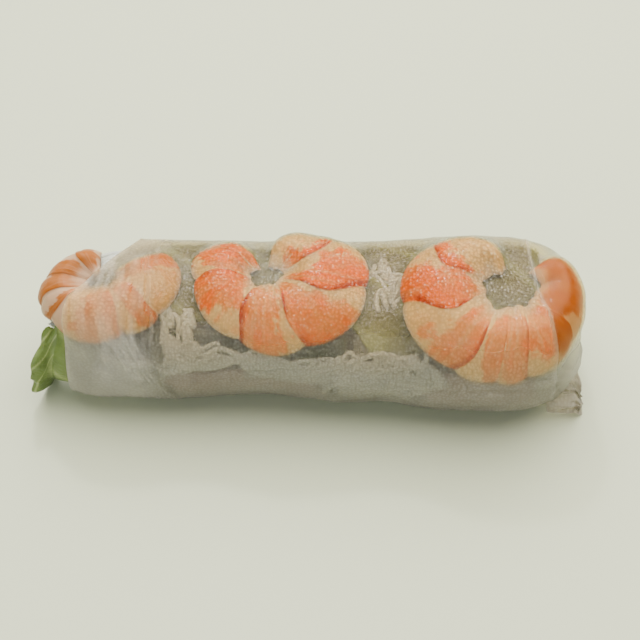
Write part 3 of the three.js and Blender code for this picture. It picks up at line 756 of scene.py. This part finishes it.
for node_name, shrimp in SHRIMPS.items():
    columns = SEGMENT_COLUMNS * (len(shrimp["ends"]) - 1)
    half = bent_grid(node_name + "_half", columns, 88, shrimp_shape(shrimp))
    dress(half, shrimp_finish, [node_name])
    half.data.materials.append(bare_finish)
    bare_and_shaded = half.data.attributes["bare_and_shaded"].data
    for face in half.data.polygons:
        face.material_index = int(bare_and_shaded[face.vertices[0]].value > 0.5)


# ---- Rice paper ---------------------------------------------------------------------------------
# The wrapper is a round sheet of rice starch, soaked until it is limp and clear, and rolled round the
# filling in two or three turns. It clings where it touches, spans the hollows, and keeps the fine
# woven print of the mat that it was dried on. Each further turn makes it milkier.

PAPER_ROWS, PAPER_COLUMNS = 290, 160
FILM_LIFT, FILM_THICKNESS = 0.4, 0.3
DRAWING_PASSES = 260
DRAWN_IN = 0.985  # how far each pass draws the sheet down onto the filling
TURN_EDGE_WIDTH = 0.45
RIM_WIDTH = 0.7
OPEN_FLARE = 2.6  # how far the sheet stands off low at the open end
CREASES = [-46.5, -45.0, -43.2, -41.8]  # where the creases at the open end cross theta 28
CREASE_SLOPE = -0.154  # millimetres along the roll for each degree round it
CREASE_WIDTH = 0.3
# The theta of each long fold at its start and at its end.
FOLDS = [(-46, -24), (-36, -19), (-27, -14), (-20, -10), (-14, -6), (-9, -2), (-5, 3), (-2, 8)]
FOLD_START, FOLD_END = -34.0, 64.0
FOLD_WIDTH = 1.1  # degrees
PRINT_CELL = 0.85  # millimetres, coarser than the real print's 0.5, so that it shows


def paper_heights(s, theta):
    """The sheet drawn tight: it rests on the shrimps and spans the hollows between them."""
    rest = shrimp_over(s, theta)
    height = rest.copy()
    for _ in range(DRAWING_PASSES):
        around = (np.roll(height, 1, 1) + np.roll(height, -1, 1)) / 2
        padded = np.pad(height, ((1, 1), (0, 0)), mode="edge")
        along = (padded[:-2] + padded[2:]) / 2
        height = np.maximum(rest, DRAWN_IN * (around + along) / 2)
        height[0] = height[1].mean()
    for _ in range(3):
        padded = np.pad(height, ((1, 1), (0, 0)), mode="edge")
        height = (height * 2 + np.roll(height, 1, 1) + np.roll(height, -1, 1)
                  + padded[:-2] + padded[2:]) / 6
    return height, np.maximum(height - rest, 0)


def paper_creases(s, theta):
    """Slanting creases where the sheet is bunched at the open end, 0 to 1."""
    reach = smooth(44, 30, theta) * smooth(-44, -30, theta)
    across = [bump(s, at + CREASE_SLOPE * (theta - 28), CREASE_WIDTH) for at in CREASES]
    return np.max(across, axis=0) * reach


def paper_folds(s, theta):
    """Long folds low in front, which gather towards the folded corner, 0 to 1."""
    share = (s - FOLD_START) / (FOLD_END - FOLD_START)
    across = [bump(theta, mix(first, last, share) + 1.5 * np.sin(0.21 * s + first), FOLD_WIDTH)
              for first, last in FOLDS]
    return np.max(across, axis=0) * smooth(0.0, 0.25, share) * mix(0.5, 1.0, smooth(0.4, 0.7, share))


def paper_shape(u, v):
    """The sheet's outside from the closed end to the open one, and its inside back again."""
    rows, columns = PAPER_ROWS, PAPER_COLUMNS
    i, j = np.meshgrid(np.arange(rows + 1), np.arange(columns), indexing="ij")
    grid_theta = 360.0 * j / columns - 90.0
    grid_s = mix(S_RIGHT, open_edge(grid_theta), i / rows)
    height, gap = paper_heights(grid_s, grid_theta)
    outer = u < 0.5
    row = np.rint(np.where(outer, 2 * u, 2 - 2 * u) * rows).astype(int)
    column = np.rint(v * columns).astype(int) % columns
    s, theta = grid_s[row, column], grid_theta[row, column]
    floor = np.where(outer, 0.0, FILM_THICKNESS)
    spots = np.stack([s, DEGREE * theta, np.zeros_like(s)], axis=-1)
    left = smooth(-30, -42, s)
    ridges = roughly(spots * np.array([1.0, 0.1, 1.0]), 1.0, 21.0) * left * smooth(150, 110, theta)
    ridges += 0.5 * roughly(spots * np.array([1.0, 0.07, 1.0]), 2.6, 3.0) * left
    pucker = 0.16 * roughly(spots, 6.0) + 0.05 * roughly(spots, 2.2, 8.0)
    creases, folds = paper_creases(s, theta), paper_folds(s, theta)
    edge = bump(s, top_turn_edge(theta), TURN_EDGE_WIDTH)
    rim = bump(s, open_edge(theta), RIM_WIDTH)
    # at the closed end the sheet is gathered round the strands and tucked in
    tucked = smooth(62, 71, s) * np.maximum(smooth(38, 12, theta), smooth(128, 158, theta))
    pleats = np.abs(np.sin(np.radians(3.5 * theta + 5.0 * (s - 70) + 20 * np.sin(np.radians(2 * theta)))))
    pleats = tucked * (1 - pleats ** 0.7) * smooth(81.6, 79, s)
    relief = pucker + 0.9 * pleats + 0.14 * ridges + 0.3 * creases + 0.3 * folds + 0.2 * edge
    bead = np.where(outer, 0.25, -0.15) * rim
    lift = FILM_LIFT + np.where(outer, FILM_THICKNESS, 0.0)
    flare = OPEN_FLARE * smooth(-44, -58, s) * bump(theta, -38, 42)
    points = on_roll(s, theta, height[row, column] + lift + flare + relief + bead, floor)
    tip = row == 0
    for face in (outer, ~outer):
        points[tip & face] = points[tip & face].mean(0)
    clear = smooth(-0.3, 0.3, s - top_turn_edge(theta))
    resting = smooth(0.2, 1.5, height[row, column]) * np.exp(-gap[row, column] / 0.8)
    spanning = 1 - np.exp(-gap[row, column] / 1.8)
    bottom = np.maximum(smooth(45, -6, theta), smooth(150, 190, theta))
    bunched = smooth(-34, -46, s)
    # how milky the sheet is: where it rests on a shrimp it clears
    veil = 0.09 - 0.08 * resting * smooth(15, 75, theta) + 0.03 * spanning + 0.09 * bottom
    veil = veil + bunched * mix(0.18, 0.2, smooth(15, 50, theta))
    uneven = 0.06 * roughly(spots, 7.0, 5.0) + 0.04 * roughly(spots, 2.4, 9.0)
    veil = (veil + uneven * (1 - 0.8 * resting)) * (1 - 0.85 * clear)
    veil = veil + 0.28 * ridges * smooth(10, 45, theta) + 0.2 * creases + 0.12 * folds
    # the pale lines along the open rim and the edge of the upper turn are partly the sheet's thicker edge
    # and partly a painted highlight
    veil = veil + 0.2 * rim + 0.25 * edge + 0.14 * tucked + 0.2 * pleats
    # wet marks the top of the roll, where more glints are painted into the print
    wet = smooth(40, 75, theta) * smooth(-50, -20, s) * (1 - clear)
    wet = wet * (1 - 0.9 * bump(s, -10, 4.5) * bump(theta, 88, 12)) * smooth(160, 120, theta)
    # where the sheet stands off, low on the roll and low on the bunched end, its starch turns greyer:
    # partly its milkier look, partly painted shade
    dull_and_shaded = np.clip(spanning + 0.6 * bottom + 0.5 * (1 - resting)
                   + 0.4 * bunched * (1 - smooth(20, 55, theta)), 0, 1)
    veil = np.clip(veil, 0.0, 0.9)
    # how much print the sheet shows, with its painted glints, which are stronger on the wet top
    print_and_glint_share = 0.5 * (1 - clear) * (1 - 0.4 * bunched * smooth(60, 30, theta)) + 0.5 * wet
    blur = 0.07 + 0.14 * smooth(60, 35, theta) + 0.8 * veil
    blur = blur + 0.1 * spanning * (1 - clear) + 0.2 * bunched
    return points, {"veil": veil, "print_and_glints": np.where(outer, print_and_glint_share, 0.0), "dull_and_shaded": dull_and_shaded, "blur": blur,
                    "along": s, "around": np.radians(theta) * GIRTH_RADIUS}


def wet_rice_paper(tree):
    """Soaked rice paper: a cloudy starch film with a fine woven print and a wet gloss. What it
    touches shows through sharp, and what lies deeper is blurred."""
    place = add(tree, "TexCoord").outputs["Object"]
    veil, print_and_glints, dull_and_shaded, blur, along, around = (
        add(tree, "Attribute", attribute_name=key).outputs["Fac"]
        for key in ("veil", "print_and_glints", "dull_and_shaded", "blur", "along", "around"))
    # the greyer starch colour is partly the milkier sheet and partly painted shade
    starch = add(tree, "Mix", {"Factor": dull_and_shaded, "A": colour("#fce8be"), "B": colour("#e5e2d8")},
                 data_type="RGBA")
    sheet = add(tree, "CombineXYZ", {"X": along, "Y": around})
    weave = add(tree, "TexVoronoi", {"Vector": sheet.outputs["Vector"], "Scale": 1 / PRINT_CELL,
                                     "Randomness": 0.8}, voronoi_dimensions="2D")
    # between its hollows the print is thicker and lets less light through
    ridge = add(tree, "MapRange", {"Value": weave.outputs["Distance"], "From Min": 0.12,
                                   "From Max": 0.5, "To Min": 0.0, "To Max": 0.7})
    thick = add(tree, "Math", {0: ridge.outputs["Result"], 1: print_and_glints}, operation="MULTIPLY")
    sheet_tint = add(tree, "Mix", {"Factor": thick.outputs[0], "A": starch.outputs["Result"],
                                   "B": colour("#9c8a72")}, data_type="RGBA")
    # painted glints: pale flecks in some of the print's hollows stand for the light caught by the wet
    # print
    hollow = add(tree, "MapRange", {"Value": weave.outputs["Distance"], "From Min": 0.4,
                                    "From Max": 0.1, "To Min": 0.0, "To Max": 1.0})
    cell = add(tree, "SeparateColor", {"Color": weave.outputs["Color"]})
    patches = add(tree, "TexNoise", {"Vector": place, "Scale": 1 / (3 * MM), "Detail": 3.0})
    chance = add(tree, "Math", {0: cell.outputs["Red"], 1: patches.outputs["Fac"]}, operation="ADD")
    glint_chance = add(tree, "MapRange", {"Value": chance.outputs[0], "From Min": 1.0, "From Max": 1.5,
                                     "To Min": 0.0, "To Max": 0.58})
    glint = add(tree, "Math", {0: hollow.outputs["Result"], 1: glint_chance.outputs["Result"]},
                operation="MULTIPLY")
    veil_and_glints = add(tree, "Math", {0: glint.outputs[0], 1: print_and_glints, 2: veil},
                  operation="MULTIPLY_ADD", use_clamp=True)
    # the shell has two faces, and each one hides its share
    through = add(tree, "Math", {0: 1.0, 1: veil_and_glints.outputs[0]}, operation="SUBTRACT")
    each = add(tree, "Math", {0: through.outputs[0]}, operation="SQRT")
    relief = add(tree, "Bump", {"Height": weave.outputs["Distance"], "Strength": 0.4,
                                "Distance": 0.2 * MM})
    return add(tree, "BsdfPrincipled", {
        "Base Color": sheet_tint.outputs["Result"], "Roughness": blur, "IOR": 1.1,
        "Specular IOR Level": 0.06, "Transmission Weight": each.outputs[0],
        "Coat Weight": 0.12, "Coat Roughness": 0.1,
        "Normal": relief.outputs["Normal"], "Coat Normal": relief.outputs["Normal"]}).outputs["BSDF"]


rice_paper_finish = finish("wet_rice_paper", wet_rice_paper)
wrapper = bent_grid("rice_paper_film", 2 * PAPER_ROWS, PAPER_COLUMNS, paper_shape)
dress(wrapper, rice_paper_finish, ["rice_paper"])

# The sheet's corner, folded under the closed end, comes out there in pleats that spread on the plate.
CORNER = Vector((62.6, -9.0, 4.0))
CORNER_REACH, CORNER_WIDTH, CORNER_HEIGHT = 9.0, 7.4, 4.0
CORNER_PLEATS, CORNER_TURN = 7, 1.5


def corner_shape(u, v):
    angle = 2 * np.pi * v
    pleats = np.cos(CORNER_PLEATS * angle + CORNER_TURN * u + 1.3 * np.sin(angle + 0.7))
    pleats = pleats * (0.75 + 0.35 * np.cos(2 * angle + 1.0))
    fine = np.cos(17 * angle - 3.0 * u) + 0.6 * np.cos(29 * angle + 5.0 * u)
    spread = np.sqrt(np.clip(1 - (0.9 * u) ** 4, 0, 1)) * (1 + 0.2 * u * pleats + 0.05 * u * fine)
    y = CORNER_WIDTH * spread * np.cos(angle)
    z = np.maximum(CORNER_HEIGHT * spread * np.sin(angle) - 3.0 * smooth(0.75, 1.0, u), -CORNER.z)
    x = CORNER_REACH * u * (1 + 0.05 * fine * u)
    points = close_ends(np.stack([x, y, z], axis=-1), u)
    veil = np.clip(0.42 + 0.2 * pleats * u + 0.12 * fine * u, 0.1, 0.8)
    even = np.full_like(u, 0.5)
    return points + np.array(CORNER), {
        "veil": 0.6 * veil, "print_and_glints": even, "dull_and_shaded": even + 0.4, "blur": 0.1 + 0.5 * veil,
        "along": x, "around": CORNER_HEIGHT * angle}


corner_fold = bent_grid("rice_paper_corner", 60, 240, corner_shape)
dress(corner_fold, rice_paper_finish, ["rice_paper"])


# ---- Table, light and camera --------------------------------------------------------------------
# The roll lies on a plain pale surface, in soft light from overhead, seen from half above its front.

bm = bmesh.new()
bmesh.ops.create_grid(bm, x_segments=1, y_segments=1, size=2.0)
bmesh.ops.translate(bm, verts=bm.verts, vec=(0, 0, -0.0002))
table_mesh = bpy.data.meshes.new("table")
bm.to_mesh(table_mesh)
bm.free()
table = bpy.data.objects.new("table", table_mesh)
bpy.context.collection.objects.link(table)


def pale_glaze(tree):
    return add(tree, "BsdfPrincipled", {
        "Base Color": colour("#c4ccac"), "Roughness": 0.5}).outputs["BSDF"]


table_mesh.materials.append(finish("pale_glaze", pale_glaze))

middle = (Vector(cad_bounds[0]) + Vector(cad_bounds[1])) / 2


def soft_light(name, place, size, watts, tint):
    lamp = bpy.data.lights.new(name, "AREA")
    lamp.shape = "DISK"
    lamp.size = size
    lamp.energy = watts
    lamp.color = colour(tint)[:3]
    holder = bpy.data.objects.new(name, lamp)
    holder.location = Vector(place)
    holder.rotation_euler = (middle - holder.location).to_track_quat("-Z", "Y").to_euler()
    bpy.context.collection.objects.link(holder)


soft_light("overhead", (0.1, 0.34, 0.76), 1.8, 39.5, "#fffaf0")
soft_light("fill", (-0.3, -0.8, 0.35), 0.9, 4.4, "#eef2fa")
soft_light("sparkle", (-0.1, 0.5, 0.7), 0.08, 2.0, "#ffffff")
room = bpy.data.worlds.new("room")
room.use_nodes = True
room.node_tree.nodes["Background"].inputs["Color"].default_value = colour("#d0c9cf")
room.node_tree.nodes["Background"].inputs["Strength"].default_value = 0.45
bpy.context.scene.world = room

AZIMUTH, ELEVATION = math.radians(2.0), math.radians(49.5)
DISTANCE = 440 * MM
back = Vector((math.sin(AZIMUTH) * math.cos(ELEVATION), -math.cos(AZIMUTH) * math.cos(ELEVATION),
               math.sin(ELEVATION)))
right = Vector((math.cos(AZIMUTH), math.sin(AZIMUTH), 0))
up = back.cross(right)
aim = (Vector((0, 0, 19.0)) + SHIFT + right * 3.1 - up * 0.5) * MM
lens = bpy.data.cameras.new("view")
lens.sensor_width = 36.0
lens.lens = 95.6
eye = bpy.data.objects.new("view", lens)
eye.location = aim + back * DISTANCE
eye.rotation_euler = back.to_track_quat("Z", "Y").to_euler()
bpy.context.collection.objects.link(eye)
bpy.context.scene.camera = eye
